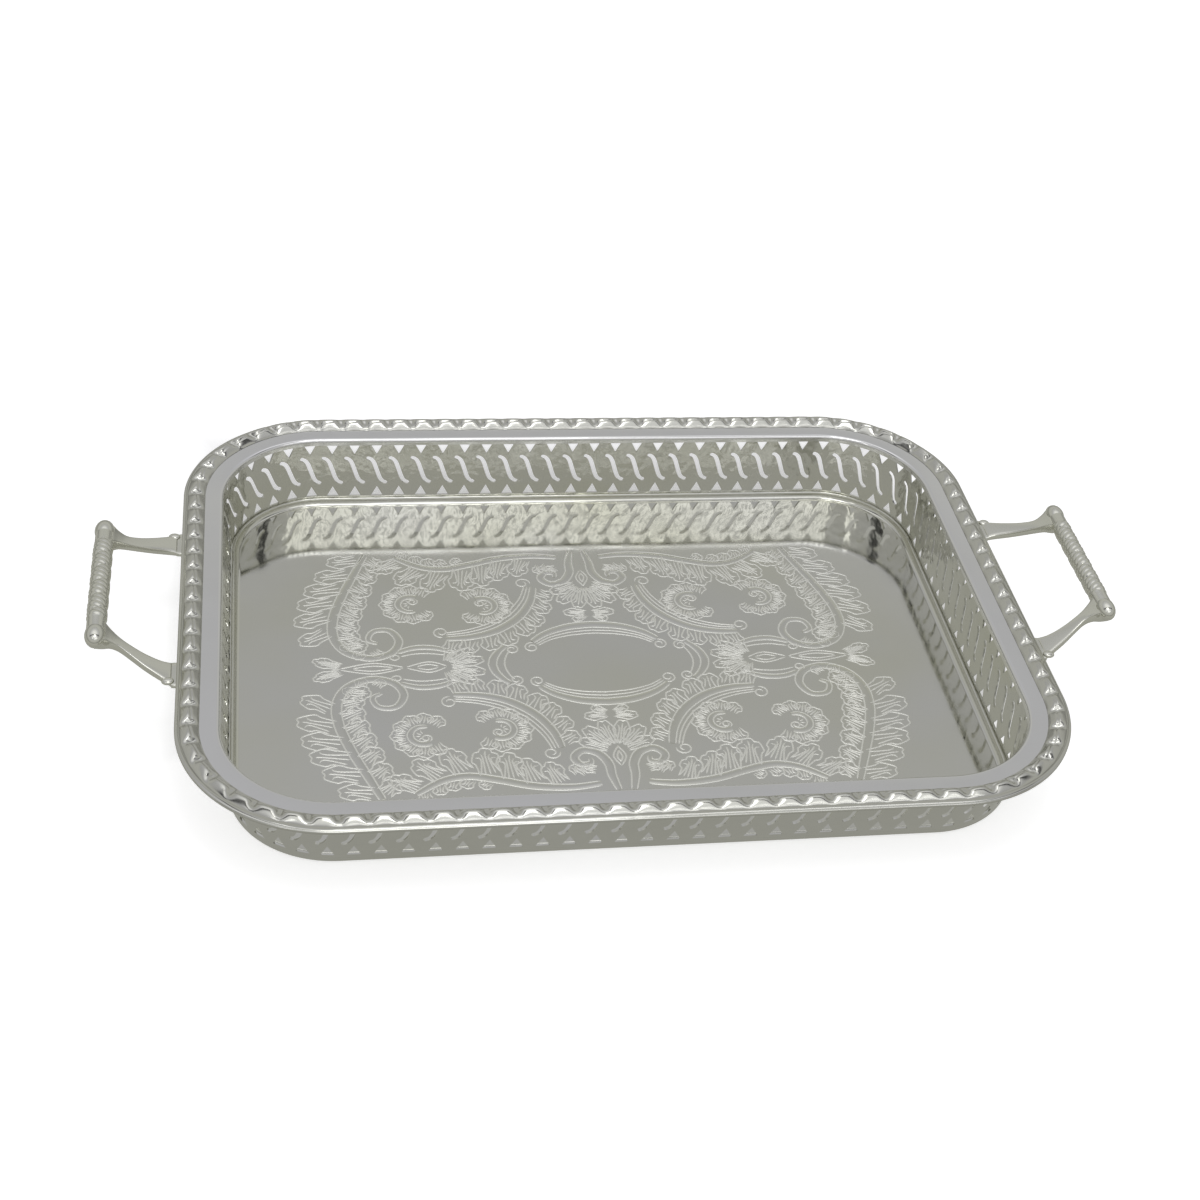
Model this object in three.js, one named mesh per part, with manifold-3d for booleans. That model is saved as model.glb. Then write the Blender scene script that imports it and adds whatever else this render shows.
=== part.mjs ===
// Silver-plated gallery tray for a dresser: a drawn pan, a pierced gallery held between the pan's upstand and
// the collar of a flat flange, a gadroon border on the flange and two bar handles on riveted brackets.
// The pan is a floor plate and four quarters of wall, and the flange is four quarters, so that each is simple.
// Millimetres, +Z up. The origin is on the table, under the tray's centre; the handles are at +X and -X.

import * as THREE from "three";
import { mergeVertices } from "three/addons/utils/BufferGeometryUtils.js";
import Module from "manifold-3d";

const wasm = await Module();
wasm.setup();

// ---- driving dimensions ----

// The rim's outer edge, which every ring of the tray follows.
const RIM_LENGTH = 330;
const RIM_WIDTH = 252;
const RIM_CORNER = 56;

const GAP = 0.3; // between the faces of two pieces that touch
const OVERRUN = 5; // of a cutter past the face that it cuts
const CORNER_STEPS = 8; // facets in a quarter-round corner

// Pan: flat floor, cove and upstand.
const PAN_SHEET = 1.2;
const COVE_RADIUS = 2.2;
const UPSTAND_TOP = 4;
const PAN_LEDGE = 0.6; // flat foot of the turned-up wall, inside the cove

// Flange: flat plate whose inner edge rolls down into a collar.
const FLANGE_SHEET = 0.9;
const FLANGE_TOP = 32;
const FLANGE_OUTER_INSET = 0.8;
const ROLL_RADIUS = 1.6;
const COLLAR_DEPTH = 2.8; // from the flange's top to the collar's lower edge

// Gallery: a leaning pierced strip in eight lengths.
const GALLERY_SHEET = 0.8;
const GALLERY_BOTTOM = 1;
const GALLERY_TOP = FLANGE_TOP - FLANGE_SHEET - 2 * GAP;
const GALLERY_TOP_INSET = 13.8; // outer face at the top edge
const GALLERY_LEAN = 0.12; // inward travel for each millimetre down
const PIERCING_PITCH = 9.4;
const PIERCING_MARGIN = 0.4; // between the piercing and the collar or the upstand
const SLOT_SPAN = 8.4; // along the strip, tip to tip
const SLOT_WIDTH = 1.8;
const TRIANGLE_BASE = 5;
const TRIANGLE_HEIGHT = 4.6;
const TRIANGLE_SPACING = 1.2; // height between a triangle's apex and the slot's end

// Gadroon border in four lengths, each round one corner.
const BORDER_WIDTH = 8.6;
const BORDER_SKIRT = FLANGE_TOP - FLANGE_SHEET; // its lower edge hangs over the flange's edge
const BORDER_EDGE = FLANGE_TOP + GAP; // height where the lobes spring
const LOBE_HEIGHT = 2.9;
const GROOVE_HEIGHT = 1.7;
const LOBE_PITCH = 10;

// Handles.
const GRIP_REACH = 28; // rim's edge to the grip's axis
const GRIP_AXIS_Z = FLANGE_TOP + 11;
const GRIP_LENGTH = 72;
const GRIP_RADIUS = 3.8;
const GRIP_END_RADIUS = 3.4;
const GRIP_END_PLAIN = 12; // plain length at each end of the patterned part
const ARM_SHEET = 3.2; // thickness of an arm between rim and grip
const ARM_FOOT_Y = 39.6; // foot's centre, from the tray's centre line
const ARM_FOOT_WIDTH = 13.4;
const ARM_WAIST_WIDTH = 5;
const ARM_FLARE_WIDTH = 12.5;
const ARM_GRIP_Y = (GRIP_LENGTH - ARM_FLARE_WIDTH) / 2; // the flare ends level with the grip's tip
const FOOT_SHEET = 1.8;
const FOOT_LENGTH = 10.5; // of the foot under the flange
const KNOB_RADIUS = 1.7;

// Rivets.
const RIVET_RADIUS = 1.1;
const RIVET_HEAD_RADIUS = 2;
const RIVET_HEAD_HEIGHT = 0.8;
const RIVET_INSET = 5; // from the rim's edge, under the border
const RIVET_PITCH = 7;
const RIVET_SIDES = 6;

// ---- materials ----

const polishedPlate = new THREE.MeshStandardMaterial({ color: 0xd2d2cc, roughness: 0.12, metalness: 1 });
const stampedPlate = new THREE.MeshStandardMaterial({ color: 0xcfcfc8, roughness: 0.2, metalness: 1 });
const castPlate = new THREE.MeshStandardMaterial({ color: 0xcbcbc4, roughness: 0.24, metalness: 1 });
const rivetPlate = new THREE.MeshStandardMaterial({ color: 0xb9b9b2, roughness: 0.35, metalness: 1 });

// ---- solids ----

// A BufferGeometry as a manifold-3d solid.
function solid(geometry) {
  const bare = geometry.clone();
  bare.deleteAttribute("normal");
  bare.deleteAttribute("uv");
  const merged = mergeVertices(bare, 1e-4);
  return new wasm.Manifold(
    new wasm.Mesh({
      numProp: 3,
      vertProperties: merged.attributes.position.array,
      triVerts: new Uint32Array(merged.index.array),
    }),
  );
}

// A manifold-3d solid as a BufferGeometry.
function geometryOf(manifold) {
  const mesh = manifold.getMesh();
  return new THREE.BufferGeometry()
    .setAttribute("position", new THREE.BufferAttribute(new Float32Array(mesh.vertProperties), 3))
    .setIndex(new THREE.BufferAttribute(new Uint32Array(mesh.triVerts), 1));
}

// A geometry from points and triangles, turned so that its faces point out.
function closedGeometry(points, triangles) {
  const volume = triangles.reduce((sum, [a, b, c]) => {
    const [p, q, r] = [points[a], points[b], points[c]];
    return sum + p.dot(new THREE.Vector3().crossVectors(q, r));
  }, 0);
  const faces = volume < 0 ? triangles.map(([a, b, c]) => [a, c, b]) : triangles;
  return new THREE.BufferGeometry().setFromPoints(points).setIndex(faces.flat());
}

// Sections of equal length joined one to the next, with a cap at each end.
function loft(sections) {
  const size = sections[0].length;
  const last = (sections.length - 1) * size;
  const triangles = [];
  for (let here = 0; here < last; here += size) {
    const next = here + size;
    for (let j = 0; j < size; j++) {
      const k = (j + 1) % size;
      triangles.push([here + j, here + k, next + k], [here + j, next + k, next + j]);
    }
  }
  // The caps are flat sections, so they are triangulated in their own plane.
  const cap = THREE.ShapeUtils.triangulateShape(flatten(sections[0]), []);
  const endCap = THREE.ShapeUtils.triangulateShape(flatten(sections.at(-1)), []);
  triangles.push(...cap.map(([a, b, c]) => [a, c, b]));
  triangles.push(...endCap.map(([a, b, c]) => [last + a, last + b, last + c]));
  return closedGeometry(sections.flat(), triangles);
}

// A flat closed section's points in its own plane, turned anticlockwise as its points run.
function flatten(section) {
  const origin = section[0];
  const across = section[1].clone().sub(origin).normalize();
  const spokes = section.map((point) => point.clone().sub(origin));
  const normal = new THREE.Vector3();
  spokes.forEach((spoke, i) => {
    const next = spokes[(i + 1) % spokes.length];
    normal.add(new THREE.Vector3().crossVectors(spoke, next));
  });
  const up = normal.normalize().cross(across);
  return spokes.map((spoke) => new THREE.Vector2(spoke.dot(across), spoke.dot(up)));
}

// ---- the outline ----

// Sides run anticlockwise from the front one: 0 front, 1 right, 2 back, 3 left. Corner k follows side k.
const cornerX = RIM_LENGTH / 2 - RIM_CORNER;
const cornerY = RIM_WIDTH / 2 - RIM_CORNER;
const CORNERS = [[1, -1], [1, 1], [-1, 1], [-1, -1]].map(([x, y], k) => ({
  x: x * cornerX,
  y: y * cornerY,
  start: ((k - 1) * Math.PI) / 2,
}));
const SIDE_NAMES = ["front", "right", "back", "left"];
const CORNER_NAMES = ["front_right", "back_right", "back_left", "front_left"];
const straightLength = (side) => (side % 2 ? 2 * cornerY : 2 * cornerX);

// The point at a share t of the way round a corner, an inset inside the rim's edge.
function onCorner(side, t, inset) {
  const corner = CORNERS[side % 4];
  const angle = corner.start + (t * Math.PI) / 2;
  const radius = RIM_CORNER - inset;
  return new THREE.Vector2(corner.x + radius * Math.cos(angle), corner.y + radius * Math.sin(angle));
}

// The point at a share t of the way along a straight side.
function onSide(side, t, inset) {
  return onCorner(side + 3, 1, inset).lerp(onCorner(side, 0, inset), t);
}

// A section of [inset, height] pairs as points at one place on the outline, which place(inset) gives.
const sectionAt = (section, place) =>
  section.map(([inset, z]) => {
    const { x, y } = place(inset);
    return new THREE.Vector3(x, y, z);
  });

// A section swept round one quarter of the outline: from the middle of side `corner` round that corner to the
// middle of the next side, half a gap short at both ends.
function quarter(corner, section) {
  const first = 0.5 + GAP / 2 / straightLength(corner);
  const last = 0.5 - GAP / 2 / straightLength(corner + 1);
  const turns = Array.from({ length: CORNER_STEPS + 1 }, (_, i) => i / CORNER_STEPS);
  const bend = turns.map((turn) => (inset) => onCorner(corner, turn, inset));
  const places = [(inset) => onSide(corner, first, inset), ...bend, (inset) => onSide(corner + 1, last, inset)];
  return loft(places.map((place) => sectionAt(section, place)));
}

// [inset, height] points of an arc from one angle to another, both ends included.
function arc(inset, z, radius, from, to, steps) {
  return Array.from({ length: steps + 1 }, (_, i) => {
    const angle = THREE.MathUtils.degToRad(from + ((to - from) * i) / steps);
    return [inset + radius * Math.cos(angle), z + radius * Math.sin(angle)];
  });
}

// ---- pan ----

const galleryOuter = (z) => GALLERY_TOP_INSET + GALLERY_LEAN * (GALLERY_TOP - z);
const upstandOuter = (z) => galleryOuter(z) + GALLERY_SHEET + GAP;

const panBend = COVE_RADIUS + PAN_SHEET; // outer radius of the cove
const coveInset = upstandOuter(panBend) + panBend; // where the cove meets the flat floor
const floorEdge = coveInset + PAN_LEDGE; // where the wall's pieces end and the floor's plate begins

// The pan's flat floor.
function panFloor() {
  const outline = new THREE.Shape();
  CORNERS.forEach((corner) => {
    outline.absarc(corner.x, corner.y, RIM_CORNER - floorEdge - GAP, corner.start, corner.start + Math.PI / 2);
  });
  return new THREE.ExtrudeGeometry(outline, {
    depth: PAN_SHEET,
    bevelEnabled: false,
    curveSegments: CORNER_STEPS,
  });
}

// A quarter of the pan's turned-up wall: the cove and the upstand.
function panWall(corner) {
  return quarter(corner, [
    [floorEdge, 0],
    ...arc(coveInset, panBend, panBend, -90, -180, 3),
    [upstandOuter(UPSTAND_TOP), UPSTAND_TOP],
    [upstandOuter(UPSTAND_TOP) + PAN_SHEET, UPSTAND_TOP],
    ...arc(coveInset, panBend, COVE_RADIUS, 180, 270, 2),
    [floorEdge, PAN_SHEET],
  ]);
}

// ---- gallery ----

// The piercing fills the height between the pan's upstand and the flange's collar.
const PIERCING_BOTTOM = UPSTAND_TOP + PIERCING_MARGIN;
const PIERCING_TOP = FLANGE_TOP - COLLAR_DEPTH - PIERCING_MARGIN;
const PIERCING_MIDDLE = (PIERCING_BOTTOM + PIERCING_TOP) / 2;

// Outlines of one unit of the piercing, centred on x = 0: an S-bent slot between two triangles.
function piercing() {
  const base = PIERCING_TOP - PIERCING_MIDDLE;
  const apex = base - TRIANGLE_HEIGHT;
  const tip = new THREE.Vector2(SLOT_SPAN / 2, apex - TRIANGLE_SPACING);
  // The slot is steep between its two bends and flatter beyond them.
  const bend = new THREE.Vector2(tip.x * 0.5, tip.y * 0.64);
  const across = new THREE.Vector2(-bend.y, bend.x).setLength(SLOT_WIDTH / 2);
  const halfSlot = [tip, bend.clone().add(across), bend.clone().negate().add(across)];
  const slot = [...halfSlot, ...halfSlot.map((point) => point.clone().negate())];
  const triangle = (sign) =>
    [[0, apex], [TRIANGLE_BASE / 2, base], [-TRIANGLE_BASE / 2, base]].map(
      ([x, z]) => new THREE.Vector2(x, sign * z),
    );
  return [slot, triangle(1), triangle(-1)].map((loop) =>
    loop.map(({ x, y }) => new THREE.Vector2(x, PIERCING_MIDDLE + y)),
  );
}

// A strip of `count` pierced cells, each `pitch` long, wrapped by place(distance, inset).
function piercedStrip(count, pitch, place) {
  const half = pitch / 2;
  const frame = [
    [-half, GALLERY_BOTTOM],
    [half, GALLERY_BOTTOM],
    [half, GALLERY_TOP],
    [-half, GALLERY_TOP],
  ].map(([x, z]) => new THREE.Vector2(x, z));
  const holes = piercing().map((loop) => (THREE.ShapeUtils.isClockWise(loop) ? loop : loop.reverse()));
  const faces = THREE.ShapeUtils.triangulateShape(frame, holes);
  const loops = [frame, ...holes];
  const flat = loops.flat();
  const points = [];
  const triangles = [];
  for (let i = 0; i < count; i++) {
    const base = points.length;
    for (const depth of [0, GALLERY_SHEET]) {
      for (const { x, y: z } of flat) {
        const { x: px, y: py } = place((i + 0.5) * pitch + x, galleryOuter(z) + depth);
        points.push(new THREE.Vector3(px, py, z));
      }
    }
    const back = base + flat.length;
    faces.forEach(([a, b, c]) => {
      triangles.push([base + a, base + b, base + c], [back + a, back + c, back + b]);
    });
    const wall = (a, b) => triangles.push([base + b, base + a, back + a], [base + b, back + a, back + b]);
    wall(0, 1);
    wall(2, 3);
    if (i === 0) wall(3, 0);
    if (i === count - 1) wall(1, 2);
    let start = frame.length;
    for (const hole of holes) {
      hole.forEach((_, k) => wall(start + k, start + ((k + 1) % hole.length)));
      start += hole.length;
    }
  }
  return mergeVertices(closedGeometry(points, triangles), 1e-4);
}

const cellsIn = (length) => Math.max(1, Math.round(length / PIERCING_PITCH));

function galleryStraight(side) {
  const length = straightLength(side) - GAP;
  const count = cellsIn(length);
  const share = (distance) => (distance + GAP / 2) / straightLength(side);
  return piercedStrip(count, length / count, (distance, inset) => onSide(side, share(distance), inset));
}

function galleryCorner(side) {
  const length = ((RIM_CORNER - galleryOuter(PIERCING_MIDDLE)) * Math.PI) / 2;
  const count = cellsIn(length);
  return piercedStrip(count, length / count, (distance, inset) => onCorner(side, distance / length, inset));
}

// ---- flange ----

// A quarter of the flange.
function flange(corner) {
  const rollInset = GALLERY_TOP_INSET + GALLERY_SHEET + GAP + FLANGE_SHEET - ROLL_RADIUS;
  const rollZ = FLANGE_TOP - ROLL_RADIUS;
  const collarBottom = FLANGE_TOP - COLLAR_DEPTH;
  const lean = GALLERY_LEAN * (rollZ - collarBottom);
  const plate = quarter(corner, [
    [FLANGE_OUTER_INSET, FLANGE_TOP - FLANGE_SHEET],
    [FLANGE_OUTER_INSET, FLANGE_TOP],
    ...arc(rollInset, rollZ, ROLL_RADIUS, 90, 0, 3),
    [rollInset + ROLL_RADIUS + lean, collarBottom],
    [rollInset + ROLL_RADIUS + lean - FLANGE_SHEET, collarBottom],
    ...arc(rollInset, rollZ, ROLL_RADIUS - FLANGE_SHEET, 0, 90, 2),
  ]);
  return cutForRivets(solid(plate), RIVET_RADIUS + GAP, FLANGE_TOP + OVERRUN);
}

// ---- border ----

function borderSection(height) {
  return [
    [0, BORDER_SKIRT],
    [0, BORDER_EDGE],
    [BORDER_WIDTH * 0.2, BORDER_EDGE + height * 0.72],
    [BORDER_WIDTH * 0.5, BORDER_EDGE + height],
    [BORDER_WIDTH * 0.82, BORDER_EDGE + height * 0.6],
    [BORDER_WIDTH, BORDER_EDGE],
    [FLANGE_OUTER_INSET - GAP, BORDER_EDGE],
    [FLANGE_OUTER_INSET - GAP, BORDER_SKIRT],
  ];
}

// One length of border, from the middle of side `corner` round that corner to the middle of the next side.
function border(corner) {
  const first = straightLength(corner) / 2;
  const bend = ((RIM_CORNER - BORDER_WIDTH / 2) * Math.PI) / 2;
  const second = straightLength(corner + 1) / 2;
  const total = first + bend + second;
  const lobes = Math.round(total / LOBE_PITCH);
  const place = (d) => (inset) => {
    if (d < first) return onSide(corner, 0.5 + d / (2 * first), inset);
    if (d < first + bend) return onCorner(corner, (d - first) / bend, inset);
    return onSide(corner + 1, (d - first - bend) / (2 * second), inset);
  };
  const sections = [];
  for (let i = 0; i <= 2 * lobes; i++) {
    const d = GAP / 2 + ((total - GAP) * i) / (2 * lobes);
    sections.push(sectionAt(borderSection(i % 2 ? LOBE_HEIGHT : GROOVE_HEIGHT), place(d)));
  }
  const pocket = BORDER_EDGE + RIVET_HEAD_HEIGHT + GAP;
  return cutForRivets(solid(loft(sections)), RIVET_HEAD_RADIUS + GAP, pocket);
}

// ---- handles ----

const FOOT_TOP = FLANGE_TOP - FLANGE_SHEET - GAP;

// Every rivet's place: two through each foot.
function rivetPlaces() {
  const places = [];
  for (const sx of [1, -1])
    for (const sy of [1, -1])
      for (const step of [-0.5, 0.5])
        places.push({ x: sx * (RIM_LENGTH / 2 - RIVET_INSET), y: sy * ARM_FOOT_Y + step * RIVET_PITCH });
  return places;
}

// A solid cut at each rivet's place by an upright cylinder that ends at the height `top`.
function cutForRivets(body, radius, top) {
  return rivetPlaces().reduce((cut, { x, y }) => {
    const cutter = new THREE.CylinderGeometry(radius, radius, top, RIVET_SIDES);
    cutter.rotateX(Math.PI / 2).translate(x, y, top / 2);
    return cut.subtract(solid(cutter));
  }, body);
}

function grip() {
  const half = GRIP_LENGTH / 2;
  const shoulder = half - GRIP_END_PLAIN;
  const slope = 1.5; // length over which the bar grows to its patterned part
  const tip = Array.from({ length: 4 }, (_, i) => {
    const angle = (i * Math.PI) / 8;
    return [GRIP_END_RADIUS * Math.sin(angle), -half + GRIP_END_RADIUS * (1 - Math.cos(angle))];
  });
  const lower = [
    ...tip,
    [GRIP_END_RADIUS, -half + GRIP_END_RADIUS],
    [GRIP_END_RADIUS, -shoulder],
    [GRIP_RADIUS, slope - shoulder],
  ];
  const profile = [...lower, ...lower.map(([r, z]) => [r, -z]).reverse()];
  return new THREE.LatheGeometry(profile.map(([r, z]) => new THREE.Vector2(r, z)), 16);
}

// A rounded flat section across an arm at x beyond the rim's edge.
function armSection({ x, y, z, width, sheet }) {
  const half = width / 2;
  const bevel = Math.min(1, sheet * 0.3);
  return [
    [-half + bevel, -sheet / 2],
    [half - bevel, -sheet / 2],
    [half, -sheet / 2 + bevel],
    [half, sheet / 2 - bevel],
    [half - bevel, sheet / 2],
    [-half + bevel, sheet / 2],
    [-half, sheet / 2 - bevel],
    [-half, -sheet / 2 + bevel],
  ].map(([dy, dz]) => new THREE.Vector3(RIM_LENGTH / 2 + x, y + dy, z + dz));
}

// The bracket at +X and +Y: a foot under the flange, an arm that narrows as it rises, and a flare that cups
// the grip.
function arm() {
  const footZ = FOOT_TOP - FOOT_SHEET / 2;
  const rise = GRIP_AXIS_Z - footZ;
  const drift = ARM_GRIP_Y - ARM_FOOT_Y;
  const at = (share, climb, width, sheet) => ({
    x: GRIP_REACH * share,
    y: ARM_FOOT_Y + drift * Math.max(0, share),
    z: footZ + rise * climb,
    width,
    sheet,
  });
  const foot = { x: -FOOT_LENGTH, y: ARM_FOOT_Y, z: footZ, width: ARM_FOOT_WIDTH, sheet: FOOT_SHEET };
  const stations = [
    foot,
    { ...foot, x: 2 * GAP },
    at(0.06, 0.03, ARM_FOOT_WIDTH * 0.84, ARM_SHEET * 0.8),
    at(0.3, 0.15, ARM_FOOT_WIDTH * 0.6, ARM_SHEET),
    at(0.55, 0.34, ARM_WAIST_WIDTH * 1.12, ARM_SHEET),
    at(0.76, 0.56, ARM_WAIST_WIDTH, ARM_SHEET * 1.1),
    at(0.9, 0.8, ARM_FLARE_WIDTH * 0.72, ARM_SHEET * 1.5),
    at(1, 0.9, ARM_FLARE_WIDTH, ARM_SHEET * 1.3),
  ];
  const knob = new THREE.SphereGeometry(KNOB_RADIUS, 8, 6);
  const knobAt = at(0.1, 0.05, 0, 0);
  knob.translate(RIM_LENGTH / 2 + knobAt.x, knobAt.y + ARM_FOOT_WIDTH * 0.42, knobAt.z);
  const seatRadius = GRIP_END_RADIUS + GAP;
  const seat = new THREE.CylinderGeometry(seatRadius, seatRadius, GRIP_LENGTH + OVERRUN, 16);
  seat.translate(RIM_LENGTH / 2 + GRIP_REACH, 0, GRIP_AXIS_Z);
  const body = solid(loft(stations.map(armSection))).add(solid(knob)).subtract(solid(seat));
  return cutForRivets(body, RIVET_RADIUS + GAP, FOOT_TOP + OVERRUN);
}

function rivet() {
  const low = FOOT_TOP - FOOT_SHEET - GAP;
  const high = FLANGE_TOP + GAP;
  const head = RIVET_HEAD_RADIUS;
  const profile = [
    [0, low - RIVET_HEAD_HEIGHT],
    [head * 0.6, low - RIVET_HEAD_HEIGHT],
    [head, low],
    [RIVET_RADIUS, low],
    [RIVET_RADIUS, high],
    [head, high],
    [head * 0.6, high + RIVET_HEAD_HEIGHT],
    [0, high + RIVET_HEAD_HEIGHT],
  ];
  const turned = new THREE.LatheGeometry(profile.map(([r, z]) => new THREE.Vector2(r, z)), RIVET_SIDES);
  return turned.rotateX(Math.PI / 2);
}

// ---- the tray ----

const tray = new THREE.Group();

function piece(name, geometry, material) {
  const mesh = new THREE.Mesh(geometry, material);
  mesh.name = name;
  return mesh;
}

tray.add(piece("pan_floor", panFloor(), polishedPlate));
SIDE_NAMES.forEach((name, side) => tray.add(piece(`gallery_${name}`, galleryStraight(side), polishedPlate)));
CORNER_NAMES.forEach((name, side) => {
  tray.add(piece(`pan_wall_${name}`, panWall(side), polishedPlate));
  tray.add(piece(`flange_${name}`, geometryOf(flange(side)), polishedPlate));
  tray.add(piece(`gallery_corner_${name}`, galleryCorner(side), polishedPlate));
  tray.add(piece(`border_${name}`, geometryOf(border(side)), stampedPlate));
});

for (const [handle, sx] of [["right", 1], ["left", -1]]) {
  const bar = piece(`${handle}_grip`, grip(), castPlate);
  bar.position.set(sx * (RIM_LENGTH / 2 + GRIP_REACH), 0, GRIP_AXIS_Z);
  tray.add(bar);
  for (const [end, sy] of [["back", 1], ["front", -1]]) {
    const bracket = piece(`${handle}_arm_${end}`, geometryOf(arm()), castPlate);
    bracket.scale.set(sx, sy, 1);
    tray.add(bracket);
  }
}

rivetPlaces().forEach(({ x, y }, i) => {
  const fastener = piece(`foot_rivet_${i + 1}`, rivet(), rivetPlate);
  fastener.position.set(x, y, 0);
  tray.add(fastener);
});

export default tray;
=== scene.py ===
"""Silver-plated gallery tray: the fine surfaces, finishes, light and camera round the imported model."""

import math

import bmesh
import bpy
from mathutils import Matrix, Vector
from mathutils.geometry import interpolate_bezier


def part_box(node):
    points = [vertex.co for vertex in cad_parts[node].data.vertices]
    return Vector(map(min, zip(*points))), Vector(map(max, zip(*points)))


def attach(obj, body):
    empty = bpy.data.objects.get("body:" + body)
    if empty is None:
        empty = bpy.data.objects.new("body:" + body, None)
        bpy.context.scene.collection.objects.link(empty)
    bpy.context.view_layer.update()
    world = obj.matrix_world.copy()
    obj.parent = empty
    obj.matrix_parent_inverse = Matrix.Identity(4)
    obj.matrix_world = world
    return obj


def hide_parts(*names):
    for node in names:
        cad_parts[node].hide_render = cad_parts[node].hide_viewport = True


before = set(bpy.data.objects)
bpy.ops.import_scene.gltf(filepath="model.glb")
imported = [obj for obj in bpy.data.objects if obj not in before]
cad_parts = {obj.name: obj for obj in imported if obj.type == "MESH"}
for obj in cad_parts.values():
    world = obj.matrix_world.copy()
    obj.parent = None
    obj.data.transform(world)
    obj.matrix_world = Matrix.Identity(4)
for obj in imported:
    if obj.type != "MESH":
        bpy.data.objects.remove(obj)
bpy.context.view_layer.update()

# ---- driving dimensions, in millimetres ----

MM = 0.001  # one millimetre in the scene's metres


def box_mm(node):
    """A node's lowest and highest corners in millimetres."""
    low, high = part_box(node)
    return low / MM, high / MM


# The rim's outer edge, which every ring of the tray follows.
RIM_LOW, RIM_HIGH = box_mm("border_back_right")
RIM_CORNER = 56
CORNER_X = RIM_HIGH.x - RIM_CORNER
CORNER_Y = RIM_HIGH.y - RIM_CORNER

PAN_SHEET = 1.2
COVE_RADIUS = 2.2
UPSTAND_TOP = box_mm("pan_wall_back_right")[1].z
UPSTAND_GAP = 0.3

FLANGE_TOP = box_mm("flange_back_right")[1].z
FLANGE_SHEET = 0.9
FLANGE_OUTER = 0.8  # from the rim's edge to the sheet's edge
ROLL_RADIUS = 1.6
COLLAR_DEPTH = 2.8

GALLERY_LOW, GALLERY_HIGH = box_mm("gallery_back")
GALLERY_SHEET = 0.8
GALLERY_LEAN = 0.12  # inward travel for each millimetre down
GALLERY_TOP_INSET = RIM_HIGH.y - GALLERY_HIGH.y
PIERCING_PITCH = 9.4
PIERCING_MARGIN = 0.4
SLOT_TIP = Vector((3.6, 5.8))  # the end of a slot's centre line, from its middle
SLOT_WIDTH = 1.9
BENT_CUTS = 5  # upright cuts in a cell that goes round a corner
TRIANGLE_BASE = 5.2
TRIANGLE_HEIGHT = 4.7

BORDER_WIDTH = 8.6
BORDER_SHEET = 0.5
BORDER_SLOPE = 1.2  # the smooth outer slope's width, outside the lobes
BORDER_INNER_EDGE = 0.2
LOBE_PITCH = 10
LOBE_HEIGHT = 2.9

GRIP_LOW, GRIP_HIGH = box_mm("right_grip")
GRIP_RADIUS = (GRIP_HIGH.z - GRIP_LOW.z) / 2
GRIP_AXIS = (GRIP_LOW + GRIP_HIGH) / 2
GRIP_END_RADIUS = 3.4
GRIP_END_PLAIN = 12
GRIP_SHOULDER = 1.5  # over which the pattern rises from a plain end
GRIP_LEAF_PITCH = 8.5
GRIP_LEAF_GROOVE = 0.5
GRIP_VEIN_PITCH = 2.6
GRIP_VEIN_GROOVE = 0.2

KNOB_MIDDLE = Vector((168, 43.9, 30.9))  # on the front and back arms at +X, mirrored for the others
KNOB_RADIUS = 1.9
CAP_MIDDLE = 31.6  # along the bar, from its middle
CAP_STRETCH = 1.5  # a cap's length for its width

RIVET_HEAD_RISE = 0.8
RIVET_SHANK_RADIUS = 1.1

# The patch of painted shade on the table, a lower glow, which the piercing shows.
PAINTED_SHADE_MIDDLE = Vector((0, 60, 0))
PAINTED_SHADE_REACH = Vector((143, 84, 0))
PAINTED_SHADE_FADE = 30
TABLE_DROP = 0.2  # below the pan, so that the two faces don't coincide

QUARTERS = ["front_right", "back_right", "back_left", "front_left"]
SIDES = ["front", "right", "back", "left"]

# ---- shader nodes ----


def linear(code):
    """An sRGB hex colour as linear RGBA."""
    parts = [int(code[i : i + 2], 16) / 255 for i in (1, 3, 5)]
    return (*(c / 12.92 if c <= 0.04045 else ((c + 0.055) / 1.055) ** 2.4 for c in parts), 1)


def add(tree, kind, inputs, **settings):
    """A node with its settings, its plain input values and its links."""
    made = tree.nodes.new(kind)
    for key, value in settings.items():
        setattr(made, key, value)
    for key, value in inputs.items():
        if isinstance(value, bpy.types.NodeSocket):
            tree.links.new(value, made.inputs[key])
        else:
            made.inputs[key].default_value = value
    return made


def new_material(name):
    """A material and its node tree, with no nodes yet."""
    material = bpy.data.materials.new(name)
    material.use_nodes = True
    material.node_tree.nodes.clear()
    return material, material.node_tree


TARNISH_PATCH = 70
BUFFING_SMEAR = 9


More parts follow.
